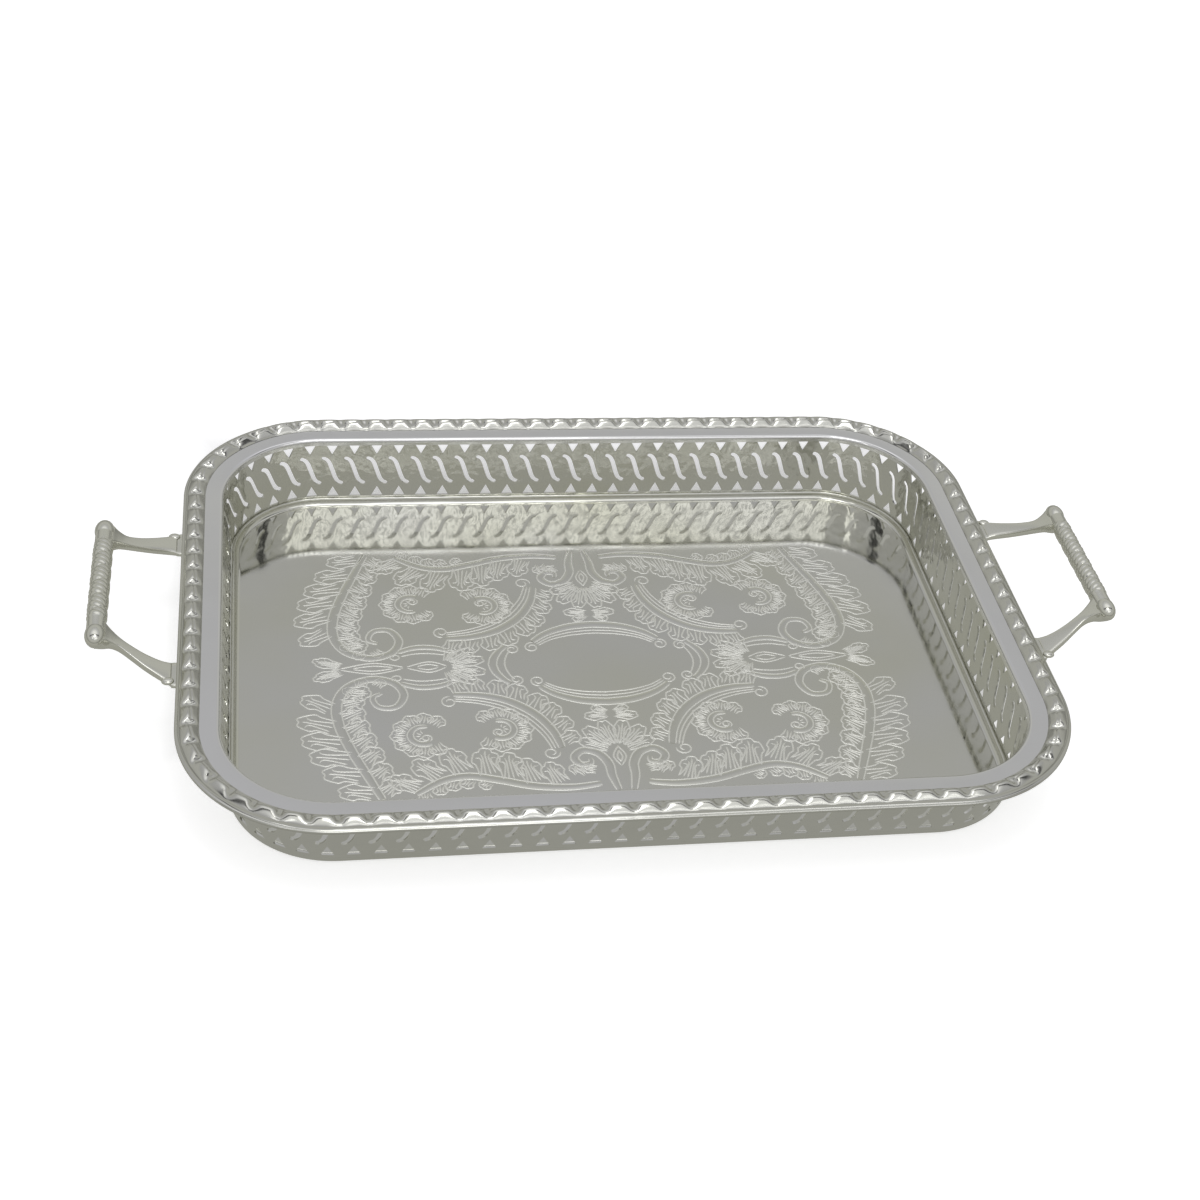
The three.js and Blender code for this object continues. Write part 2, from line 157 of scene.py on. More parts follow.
def silver_plate(name, bright, warm, polish, haze, wave_mm, wave_height_mm):
    """Electroplated silver over brass: bright, slightly warm where a thin tarnish has started.

    Buffing leaves faint smears that take the roughness from polish to haze. The sheet is never quite flat, so
    that reflections wander over its waves, which have a length and a height in millimetres.
    """
    material, tree = new_material(name)
    place = add(tree, "ShaderNodeTexCoord", {}).outputs["Object"]
    tarnish_scale = 1 / (TARNISH_PATCH * MM)
    tarnish = add(tree, "ShaderNodeTexNoise", {"Vector": place, "Scale": tarnish_scale, "Detail": 2.0})
    tint = add(
        tree,
        "ShaderNodeMix",
        {"Factor": tarnish.outputs["Fac"], "A": linear(bright), "B": linear(warm)},
        data_type="RGBA",
    )
    smear_scale = 1 / (BUFFING_SMEAR * MM)
    smears = add(tree, "ShaderNodeTexNoise", {"Vector": place, "Scale": smear_scale, "Detail": 5.0})
    gloss = add(
        tree,
        "ShaderNodeMapRange",
        {"Value": smears.outputs["Fac"], "From Min": 0.3, "From Max": 0.7, "To Min": polish, "To Max": haze},
    )
    waves = add(tree, "ShaderNodeTexNoise", {"Vector": place, "Scale": 1 / (wave_mm * MM), "Detail": 1.0})
    uneven = add(
        tree,
        "ShaderNodeBump",
        {"Height": waves.outputs["Fac"], "Distance": wave_height_mm * MM, "Strength": 1.0},
    )
    shader = add(
        tree,
        "ShaderNodeBsdfPrincipled",
        {
            "Base Color": tint.outputs["Result"],
            "Metallic": 1.0,
            "Roughness": gloss.outputs["Result"],
            "Normal": uneven.outputs["Normal"],
        },
    )
    add(tree, "ShaderNodeOutputMaterial", {"Surface": shader.outputs["BSDF"]})
    return material


# ---- meshes ----


def finish_piece(bm, name, material, nodes=(), crease=35):
    """A closed bmesh in millimetres as a finished piece that stands for CAD nodes.

    An edge is sharp where its faces meet at more than the crease angle, in degrees.
    """
    bmesh.ops.scale(bm, vec=(MM, MM, MM), verts=bm.verts)
    mesh = bpy.data.meshes.new(name)
    bm.to_mesh(mesh)
    bm.free()
    mesh.shade_smooth()
    mesh.set_sharp_from_angle(angle=math.radians(crease))
    mesh.materials.append(material)
    made = bpy.data.objects.new(name, mesh)
    bpy.context.scene.collection.objects.link(made)
    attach(made, "root")
    if nodes:
        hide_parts(*nodes)


def close_and_face_out(bm, merge=0.002):
    """Merges doubles, caps open loops and turns every face outwards."""
    bmesh.ops.remove_doubles(bm, verts=bm.verts, dist=merge)
    bmesh.ops.holes_fill(bm, edges=[edge for edge in bm.edges if edge.is_boundary])
    bmesh.ops.recalc_face_normals(bm, faces=bm.faces)


def lathe(bm, profile, steps):
    """A profile of (radius, height) points turned round the Z axis."""
    points = [bm.verts.new((radius, 0, height)) for radius, height in profile]
    line = [bm.edges.new(pair) for pair in zip(points, points[1:])]
    bmesh.ops.spin(
        bm,
        geom=points + line,
        axis=(0, 0, 1),
        cent=(0, 0, 0),
        angle=2 * math.pi,
        steps=steps,
        use_merge=True,
    )
    close_and_face_out(bm, merge=0.0005)


def grid(bm, columns, rows, place):
    """A grid of faces whose vertex in a column and a row goes to place(column, row)."""
    made = bmesh.ops.create_grid(bm, x_segments=columns, y_segments=rows, size=1)
    for vertex in made["verts"]:
        column = round((vertex.co.x + 1) / 2 * columns)
        row = round((vertex.co.y + 1) / 2 * rows)
        vertex.co = place(column, row)


def arc(inset, height, radius, start, end, steps):
    """(inset, height) points of an arc between two angles in degrees."""
    angles = [math.radians(start + (end - start) * i / steps) for i in range(steps + 1)]
    return [(inset + radius * math.cos(a), height + radius * math.sin(a)) for a in angles]


def smooth_line(points, spacing):
    """Points a spacing apart, or closer, on a smooth line through points of any dimension."""
    ends = [points[0], *points, points[-1]]
    made = [list(points[0])]
    for before, here, there, after in zip(ends, ends[1:], ends[2:], ends[3:]):
        steps = math.ceil(math.dist(here, there) / spacing)
        for t in (i / steps for i in range(1, steps + 1)):
            made.append(
                [
                    b + 0.5 * t * (c - a + t * (2 * a - 5 * b + 4 * c - d + t * (3 * (b - c) + d - a)))
                    for a, b, c, d in zip(before, here, there, after)
                ]
            )
    return made


# ---- the rim's outline ----


def on_rim(corner, distance, inset, at):
    """The (x, y) of a point `inset` inside the rim's edge.

    The distance runs anticlockwise from the middle of the side before the corner, along the line that
    lies `at` inside the edge.
    """
    straight = CORNER_Y if corner % 2 else CORNER_X
    bend = (RIM_CORNER - at) * math.pi / 2
    turn = min(max(0, distance - straight), bend) / (RIM_CORNER - at)
    past = min(0, distance - straight) + max(0, distance - straight - bend)
    angle = (corner - 1) * math.pi / 2 + turn
    x = CORNER_X if corner < 2 else -CORNER_X
    y = CORNER_Y if corner in (1, 2) else -CORNER_Y
    radius = RIM_CORNER - inset
    return (
        x + radius * math.cos(angle) - past * math.sin(angle),
        y + radius * math.sin(angle) + past * math.cos(angle),
    )


def quarter_length(at):
    """A quarter of the way round the tray, along the line `at` inside the rim's edge."""
    return CORNER_X + CORNER_Y + (RIM_CORNER - at) * math.pi / 2


def sweep(bm, corner, section, step, at):
    """Sweeps section(distance), a list of (inset, height) points, round a quarter of the rim.

    The distance and the step are measured along the line `at` inside the rim's edge.
    """
    length = quarter_length(at)
    columns = round(length / step)
    sections = [section(length * i / columns) for i in range(columns + 1)]

    def place(column, row):
        inset, height = sections[column][row]
        return (*on_rim(corner, length * column / columns, inset, at), height)

    grid(bm, columns, len(sections[0]) - 1, place)


# ---- pan ----


def gallery_outer(height):
    """How far inside the rim's edge the gallery's outer face stands at a height."""
    return GALLERY_TOP_INSET + GALLERY_LEAN * (GALLERY_HIGH.z - height)


def upstand_outer(height):
    """How far inside the rim's edge the upstand's outer face stands at a height."""
    return gallery_outer(height) + GALLERY_SHEET + UPSTAND_GAP


def pan_piece(material):
    """The drawn pan: a flat floor whose edge turns up through a cove, with a rounded lip."""
    bend = COVE_RADIUS + PAN_SHEET
    cove = upstand_outer(bend) + bend
    flat = cove + 6
    lip = PAN_SHEET / 2
    lip_inset = upstand_outer(UPSTAND_TOP) + lip
    section = [
        (flat, PAN_SHEET),
        *arc(cove, bend, COVE_RADIUS, 270, 180, 8),
        *arc(lip_inset, UPSTAND_TOP - lip, lip, 0, 180, 6),
        *arc(cove, bend, bend, 180, 270, 8),
        (flat, 0),
    ]
    bm = bmesh.new()
    for corner in range(4):
        sweep(bm, corner, lambda distance: section, 2, cove)
    close_and_face_out(bm)
    nodes = ["pan_floor"] + [f"pan_wall_{quarter}" for quarter in QUARTERS]
    finish_piece(bm, "pan", material, nodes)


# ---- flange ----


def flange_piece(material):
    """The flat flange, whose inner edge rolls down into a short collar."""
    roll_inset = GALLERY_TOP_INSET + GALLERY_SHEET + UPSTAND_GAP + FLANGE_SHEET - ROLL_RADIUS
    roll_height = FLANGE_TOP - ROLL_RADIUS
    collar = FLANGE_TOP - COLLAR_DEPTH
    inner = roll_inset + ROLL_RADIUS + GALLERY_LEAN * (roll_height - collar)
    bevel = 0.15
    section = [
        (FLANGE_OUTER, FLANGE_TOP - FLANGE_SHEET),
        (FLANGE_OUTER, FLANGE_TOP),
        *arc(roll_inset, roll_height, ROLL_RADIUS, 90, 0, 8),
        (inner, collar + bevel),
        (inner - bevel, collar),
        (inner - FLANGE_SHEET, collar),
        *arc(roll_inset, roll_height, ROLL_RADIUS - FLANGE_SHEET, 0, 90, 6),
        (FLANGE_OUTER, FLANGE_TOP - FLANGE_SHEET),
    ]
    bm = bmesh.new()
    for corner in range(4):
        sweep(bm, corner, lambda distance: section, 2, inner)
    close_and_face_out(bm)
    nodes = [f"flange_{quarter}" for quarter in QUARTERS]
    finish_piece(bm, "flange", material, nodes)


# ---- gallery ----

PIERCING_LOW = UPSTAND_TOP + PIERCING_MARGIN
PIERCING_HIGH = FLANGE_TOP - COLLAR_DEPTH - PIERCING_MARGIN
PIERCING_MIDDLE = (PIERCING_LOW + PIERCING_HIGH) / 2


def slot_outline():
    """One S-bent slot with round ends, about its middle."""
    half = interpolate_bezier((0, 0), (0.9, 2.6), (1.3, 5.2), SLOT_TIP, 8)
    line = [-point for point in reversed(half)] + half[1:]
    along = [(b - a).normalized() for a, b in zip(line, line[1:])]
    along = [along[0]] + [(a + b).normalized() for a, b in zip(along, along[1:])] + [along[-1]]
    radius = SLOT_WIDTH / 2
    one_side = [p + radius * Vector((-t.y, t.x)) for p, t in zip(line, along)]
    start = math.atan2(along[-1].x, -along[-1].y)
    turns = [start - math.pi * i / 5 for i in range(1, 5)]
    end = [line[-1] + radius * Vector((math.cos(turn), math.sin(turn))) for turn in turns]
    half_loop = one_side + end
    return half_loop + [-point for point in half_loop]


def piercing_loops():
    """The outlines of one unit of the piercing: a slot between a hanging and a standing triangle."""
    base = PIERCING_HIGH - PIERCING_MIDDLE
    apex = base - TRIANGLE_HEIGHT
    triangle = [Vector((0, apex)), Vector((TRIANGLE_BASE / 2, base)), Vector((-TRIANGLE_BASE / 2, base))]
    return [slot_outline(), triangle, [-point for point in triangle]]


def flat_cell(bm, pitch):
    """One pierced cell, flat: distance along X and height along Y."""
    middle = Vector((0, PIERCING_MIDDLE))
    half = pitch / 2
    corners = [(-half, GALLERY_LOW.z), (half, GALLERY_LOW.z), (half, GALLERY_HIGH.z), (-half, GALLERY_HIGH.z)]
    loops = [corners] + [[middle + point for point in loop] for loop in piercing_loops()]
    edges = []
    for loop in loops:
        points = [bm.verts.new((x, y, 0)) for x, y in loop]
        edges += [bm.edges.new(pair) for pair in zip(points, points[1:] + points[:1])]
    bmesh.ops.triangle_fill(bm, edges=edges, use_beauty=True)


def gallery_strip(corner, start, length, cuts, at):
    """A pierced strip along the rim, with `cuts` upright cuts in each cell so that it can bend."""
    count = round(length / PIERCING_PITCH)
    pitch = length / count
    bm = bmesh.new()
    flat_cell(bm, pitch)
    for i in range(1, cuts + 1):
        bmesh.ops.bisect_plane(
            bm,
            geom=[*bm.verts, *bm.edges, *bm.faces],
            plane_co=((i / (cuts + 1) - 0.5) * pitch, 0, 0),
            plane_no=(1, 0, 0),
        )
    cell = [*bm.verts, *bm.edges, *bm.faces]
    bmesh.ops.translate(bm, vec=(pitch / 2, 0, 0), verts=bm.verts)
    for i in range(1, count):
        copy = bmesh.ops.duplicate(bm, geom=cell)["geom"]
        verts = [item for item in copy if isinstance(item, bmesh.types.BMVert)]
        bmesh.ops.translate(bm, vec=(pitch * i, 0, 0), verts=verts)
    bmesh.ops.remove_doubles(bm, verts=bm.verts, dist=0.002)
    bmesh.ops.recalc_face_normals(bm, faces=bm.faces)
    bmesh.ops.solidify(bm, geom=bm.faces[:], thickness=GALLERY_SHEET)
    nearest = min(vertex.co.z for vertex in bm.verts)
    for vertex in bm.verts:
        distance, height, depth = vertex.co
        inset = gallery_outer(height) + depth - nearest
        vertex.co = (*on_rim(corner, start + distance, inset, at), height)
    bmesh.ops.recalc_face_normals(bm, faces=bm.faces)
    return bm


def gallery_pieces(material):
    """Four straight strips and four corner strips, each with whole cells."""
    at = gallery_outer(PIERCING_MIDDLE)
    for corner, (side, quarter) in enumerate(zip(SIDES, QUARTERS)):
        half = CORNER_Y if corner % 2 else CORNER_X
        straight = gallery_strip(corner, -half, 2 * half, 0, 0)
        finish_piece(straight, f"gallery_{side}", material, [f"gallery_{side}"])
        bend = gallery_strip(corner, half, (RIM_CORNER - at) * math.pi / 2, BENT_CUTS, at)
        name = f"gallery_corner_{quarter}"
        finish_piece(bend, name, material, [name])


# ---- border ----

# Heights as shares of a lobe's height, places as shares of the border's width.
BAND_RISE = 0.64
LOBE_RISE = 0.62
VALLEY_CUT = 0.3
CREASE_CUT = 0.13
LOBE_MIDDLE = 0.55
LOBE_REACH = 0.27
CREASE_MIDDLE = 0.62
CREASE_REACH = 0.05
LOBE_SLANT = 0.15  # how far a lobe leans along the rim, in lobes


def lobe_rise(across, phase):
    """The border's height above its edge, at a share of its width and a position in lobes.

    A smooth band runs along the border. Valleys cut it, flat-topped lobes rise between them, and a fine
    crease parts each lobe from the leaf at its inner end.
    """
    band = BAND_RISE * math.sin(math.pi * across**0.8) ** 0.7
    side = 2 * ((phase - LOBE_SLANT * (0.6 - across)) % 1) - 1
    dome = (1 - min(1, 1.18 * abs(side)) ** 3) ** 0.7
    reach = math.exp(-(((across - LOBE_MIDDLE) / LOBE_REACH) ** 2))
    crease_line = CREASE_MIDDLE + 0.08 * side
    crease = CREASE_CUT * dome * math.exp(-(((across - crease_line) / CREASE_REACH) ** 2))
    return LOBE_HEIGHT * (band + reach * (LOBE_RISE * dome - VALLEY_CUT - crease))


def border_pieces(material):
    """The gadroon border: a smooth outer slope, then oblique domed lobes, each ending in a smaller leaf."""
    at = BORDER_WIDTH / 2
    lobes = round(quarter_length(at) / LOBE_PITCH)
    edge = RIM_HIGH.z - LOBE_HEIGHT
    skirt = RIM_LOW.z
    lobed_width = BORDER_WIDTH - BORDER_SLOPE - BORDER_INNER_EDGE
    steps = 26

    def section(distance):
        phase = distance * lobes / quarter_length(at)
        top = []
        for i in range(steps + 1):
            across = i / steps
            top.append((BORDER_SLOPE + lobed_width * across, edge + lobe_rise(across, phase)))
        return [
            (BORDER_SHEET, skirt),
            (0.1, skirt),
            (0, skirt + 0.1),
            (0, edge - 0.45),
            (0.12, edge - 0.25),
            (BORDER_SHEET, edge - 0.12),
            *top,
            (BORDER_WIDTH, edge - 0.2),
            (BORDER_SHEET, edge - 0.3),
            (BORDER_SHEET, skirt),
        ]

    for corner, quarter in enumerate(QUARTERS):
        bm = bmesh.new()
        sweep(bm, corner, section, 0.5, at)
        close_and_face_out(bm)
        finish_piece(bm, f"border_{quarter}", material, [f"border_{quarter}"], 60)


# ---- handles ----


def grip_piece(name, side, material):
    """A cast bar: round plain ends, and raised leaves that wind round the rest."""
    half = (GRIP_HIGH.y - GRIP_LOW.y) / 2
    shoulder = half - GRIP_END_PLAIN
    tip = arc(0, -half + GRIP_END_RADIUS, GRIP_END_RADIUS, -90, 0, 8)
    rings = 240
    middle = [(GRIP_END_RADIUS, -shoulder + 2 * shoulder * i / rings) for i in range(rings + 1)]
    profile = tip + middle + [(radius, -height) for radius, height in reversed(tip)]
    bm = bmesh.new()
    lathe(bm, profile, 72)
    for vertex in bm.verts:
        x, y, height = vertex.co
        inside = min(1, max(0, (shoulder - abs(height)) / GRIP_SHOULDER))
        if inside == 0:
            continue
        angle = math.atan2(y, x)
        leaf_turn = height / GRIP_LEAF_PITCH + side * angle / (2 * math.pi)
        vein_turn = height / GRIP_VEIN_PITCH - 2 * side * angle / math.pi
        groove = 1 - abs(math.sin(math.pi * leaf_turn)) ** 0.35
        vein = 1 - abs(math.sin(math.pi * vein_turn))
        pattern = GRIP_RADIUS - GRIP_LEAF_GROOVE * groove - GRIP_VEIN_GROOVE * vein
        radius = GRIP_END_RADIUS + inside * (pattern - GRIP_END_RADIUS)
        vertex.co = (radius * math.cos(angle), radius * math.sin(angle), height)
    bmesh.ops.rotate(bm, cent=(0, 0, 0), matrix=Matrix.Rotation(math.pi / 2, 3, "X"), verts=bm.verts)
    bmesh.ops.translate(bm, vec=(side * GRIP_AXIS.x, 0, GRIP_AXIS.z), verts=bm.verts)
    finish_piece(bm, name, material, [name], 60)


# An arm at +X and +Y from its foot to its flare: x, inner y, outer y, top z and thickness.
ARM_STATIONS = [
    (154.5, 32.9, 46.3, 30.8, 1.8),
    (165.6, 32.9, 46.3, 30.8, 1.8),
    (167.2, 33.5, 45.0, 31.3, 2.4),
    (171, 33.3, 42.4, 32.6, 3.0),
    (176, 31.9, 39.2, 34.6, 3.2),
    (181, 30.0, 35.8, 37.2, 3.4),
    (185, 28.2, 33.6, 39.8, 3.8),
    (188, 26.2, 33.9, 42.4, 4.6),
    (190.5, 23.9, 35.4, 44.7, 6.0),
    (193.4, 23.6, 35.9, 45.6, 6.2),
]


def arm_piece(name, side, end, material):
    """A cast bracket: a foot under the flange, an arm that narrows as it rises, and a cap on the bar.

    Its section is a rectangle with rounded corners, drawn as a squared-off ellipse.
    """
    stations = smooth_line(ARM_STATIONS, 1)
    around = 28

    def place(column, row):
        x, inner, outer, top, thickness = stations[column]
        angle = 2 * math.pi * row / around
        across = math.copysign(abs(math.cos(angle)) ** 0.3, math.cos(angle))
        up = math.copysign(abs(math.sin(angle)) ** 0.45, math.sin(angle))
        y = (inner + outer) / 2 + across * (outer - inner) / 2
        return (side * x, end * y, top - thickness / 2 * (1 - up))

    bm = bmesh.new()
    grid(bm, len(stations) - 1, around, place)
    close_and_face_out(bm)
    knob = bmesh.ops.create_uvsphere(bm, u_segments=24, v_segments=12, radius=KNOB_RADIUS)["verts"]
    bmesh.ops.scale(bm, vec=(1.2, 1, 0.55), verts=knob)
    bmesh.ops.translate(bm, vec=KNOB_MIDDLE * Vector((side, end, 1)), verts=knob)
    cap = bmesh.ops.create_uvsphere(bm, u_segments=32, v_segments=16, radius=GRIP_RADIUS)["verts"]
    bmesh.ops.scale(bm, vec=(1, CAP_STRETCH, 1), verts=cap)
    bmesh.ops.translate(bm, vec=(side * GRIP_AXIS.x, end * CAP_MIDDLE, GRIP_AXIS.z), verts=cap)
    finish_piece(bm, name, material, [name], 50)


def rivet_piece(index, material):
    """A rivet through the foot and the flange, with a low domed head at each end."""
    name = f"foot_rivet_{index}"
    low, high = box_mm(name)
    middle = (low + high) / 2
    head = (high.x - low.x) / 2
    bottom = low.z + RIVET_HEAD_RISE
    top = high.z - RIVET_HEAD_RISE
    angles = [i * math.pi / 16 for i in range(9)]
    dome = [(head * math.sin(angle), RIVET_HEAD_RISE * math.cos(angle)) for angle in angles]
    profile = [
        *((radius, bottom - rise) for radius, rise in dome),
        (RIVET_SHANK_RADIUS, bottom),
        (RIVET_SHANK_RADIUS, top),
        *((radius, top + rise) for radius, rise in reversed(dome)),
    ]
    bm = bmesh.new()
    lathe(bm, profile, 24)
    bmesh.ops.translate(bm, vec=(middle.x, middle.y, 0), verts=bm.verts)
    finish_piece(bm, name, material, [name])


# ---- chased ornament ----

ORNAMENT_CENTRE = (-2.5, -5)  # the pattern was struck a little off the tray's centre
LINE_WIDTH = 0.76
LINE_HEIGHT = 0.2
LINE_STEP = 1  # between the points of a chased line
LINE_TAPER = 2  # steps over which a line runs out
# A raised band: shares of its width, and heights above the floor.
BAND_SECTION = [(0, 0), (0.2, 0.1), (0.5, 0.15), (0.8, 0.1), (1, 0), (0, 0)]


def polar(angle, radius):
    """A step of `radius` at an angle in degrees."""
    return Vector((math.cos(math.radians(angle)), math.sin(math.radians(angle)))) * radius


def left_of(path, k):
    """The unit vector to the left of a path at its point k.

    At a point on an axis it runs along that axis, so that mirrored halves meet.
    """
    ahead = path[min(k + 1, len(path) - 1)] - path[max(k - 1, 0)]
    left = Vector((-ahead.y if path[k].x else 0, ahead.x if path[k].y else 0))
    return left.normalized()


class Stem:
    """A smooth flat line with a width, through (x, y, width) points."""

    def __init__(self, points):
        line = smooth_line(points, LINE_STEP)
        self.path = [Vector(point[:2]) for point in line]
        self.widths = [point[2] for point in line]

    def rail(self, share):
        """A line along the stem, at a share of its width to the left of its middle."""
        return [
            point + left_of(self.path, k) * width * share
            for k, (point, width) in enumerate(zip(self.path, self.widths))
        ]


class Ornament:
    """Chased lines and raised bands of one quarter of the pattern, in millimetres from its centre."""

    def __init__(self):
        self.lines = bmesh.new()
        self.bands = bmesh.new()

    def line(self, points):
        """A thin raised line that tapers to nothing at each end that is not on an axis."""
        path = [Vector(point) for point in smooth_line(points, LINE_STEP)]
        last = len(path) - 1
        start, end = (LINE_TAPER if point.x and point.y else 0 for point in (path[0], path[-1]))
        section = [(-LINE_WIDTH / 2, 0), (0, LINE_HEIGHT), (LINE_WIDTH / 2, 0), (-LINE_WIDTH / 2, 0)]

        def place(column, row):
            size = min(1, column / start if start else 1, (last - column) / end if end else 1)
            offset, height = section[row]
            return (*(path[column] + left_of(path, column) * offset * size), PAN_SHEET + height * size)

        grid(self.lines, last, len(section) - 1, place)

    def scroll(self, points, ribs=0):
        """An outlined band, smooth and domed on its right side, with ribs along its left."""
        stem = Stem(points)
        right = stem.rail(-0.5)
        middle = stem.rail(0 if ribs else 0.5)

        def place(column, row):
            share, height = BAND_SECTION[row]
            return (*right[column].lerp(middle[column], share), PAN_SHEET + height)

        grid(self.bands, len(right) - 1, len(BAND_SECTION) - 1, place)
        for share in (-0.5, 0.5, *(0.5 * i / ribs for i in range(ribs))):
            rail = stem.rail(share)
            every_second = rail[:-1:2]
            self.line(every_second + rail[-1:])

    def curl(self, centre, radius, start, turns):
        """A spiral that winds inwards from its outer end, at an angle in degrees."""
        count = max(6, round(abs(turns) * 9))
        spiral = []
        for i in range(count + 1):
            share = i / count
            spiral.append(Vector(centre) + polar(start + 360 * turns * share, radius * (1 - 0.7 * share)))
        self.line(spiral)

    def leaf(self, root, heading, length, width, lobes=3, bend=0, base=0.3):
        """A leaf that bends as it grows, with a scalloped edge, and veins to and between its scallops.

        Its base is a share of its width to each side of its root.
        """

        def on_leaf(along, across):
            middle = Vector(root) + polar(heading + bend * along / 2, length * along)
            return middle + polar(heading + bend * along + 90, width * across)

        def at(angle, out):
            return on_leaf(0.55 + 0.45 * math.cos(angle) * out, 0.5 * math.sin(angle) * out)

        sweep_angle = math.radians(220)
        notch = 0.84
        scallop = 1.02
        step = sweep_angle / lobes
        edge = [on_leaf(0, -base)]
        for i in range(lobes):
            angle = step * i - sweep_angle / 2
            edge += [at(angle, notch), at(angle + step * 0.25, scallop), at(angle + step * 0.75, scallop)]
        self.line(edge + [at(sweep_angle / 2, notch), on_leaf(0, base)])
        for i in range(1, 2 * lobes):
            angle = step * i / 2 - sweep_angle / 2
            start = on_leaf(0.04, base * 1.4 * (i / lobes - 1))
            self.line([start, at(angle, 0.36), at(angle, notch if i % 2 else 0.66)])

    def leaves(self, points, side, count, length, width, lobes=3, lean=60, bend=0):
        """Leaves that touch each other along one side of a stem, longest at its middle."""
        stem = Stem(points)
        edge = stem.rail(side * 0.5)
        for i in range(count):
            share = (i + 0.5) / count
            k = round(share * (len(edge) - 1))
            across = left_of(stem.path, k) * side
            heading = math.degrees(math.atan2(across.y, across.x)) - side * (90 - lean)
            size = 0.8 + 0.2 * math.sin(math.pi * share)
            self.leaf(edge[k], heading, length * size, width * size, lobes, side * bend, 0.4)

    def shell(self, centre, start, turn, lobes):
        """A C-shaped band with a ruffle of small leaves outside it and a curl at its heart."""
        centre = Vector(centre)
        swing = math.copysign(1, turn)
        band_radius = 5
        leaf_root_radius = 6.3
        leaf_length = 6.2
        leaf_width = 6.8
        steps = 8
        band = []
        for i in range(steps + 1):
            x, y = centre + polar(start + turn * i / steps, band_radius)
            band.append((x, y, 3 - 1.4 * i / steps))
        self.scroll(band)
        for i in range(lobes):
            angle = start + (turn + swing * 50) * (i + 0.2) / lobes - swing * 10
            root = centre + polar(angle, leaf_root_radius)
            self.leaf(root, angle, leaf_length, leaf_width, 2, swing * 25, 0.36)
        self.curl(centre + polar(start, 2), 2.2, start, -swing * 1.4)
        for i in range(4):
            angle = start + turn * (0.3 + 0.18 * i)
            self.line([centre + polar(angle, 0.8), centre + polar(angle + 8, 2), centre + polar(angle, 3.2)])

    def finished(self, bm):
        """The quarter mirrored to all four, and moved to its place on the tray."""
        for scale in ((-1, 1, 1), (1, -1, 1)):
            copy = bmesh.ops.duplicate(bm, geom=[*bm.verts, *bm.edges, *bm.faces])["geom"]
            verts = [item for item in copy if isinstance(item, bmesh.types.BMVert)]
            bmesh.ops.scale(bm, vec=scale, verts=verts)
        bmesh.ops.translate(bm, vec=(*ORNAMENT_CENTRE, 0), verts=bm.verts)
        close_and_face_out(bm, merge=0.0005)
        return bm


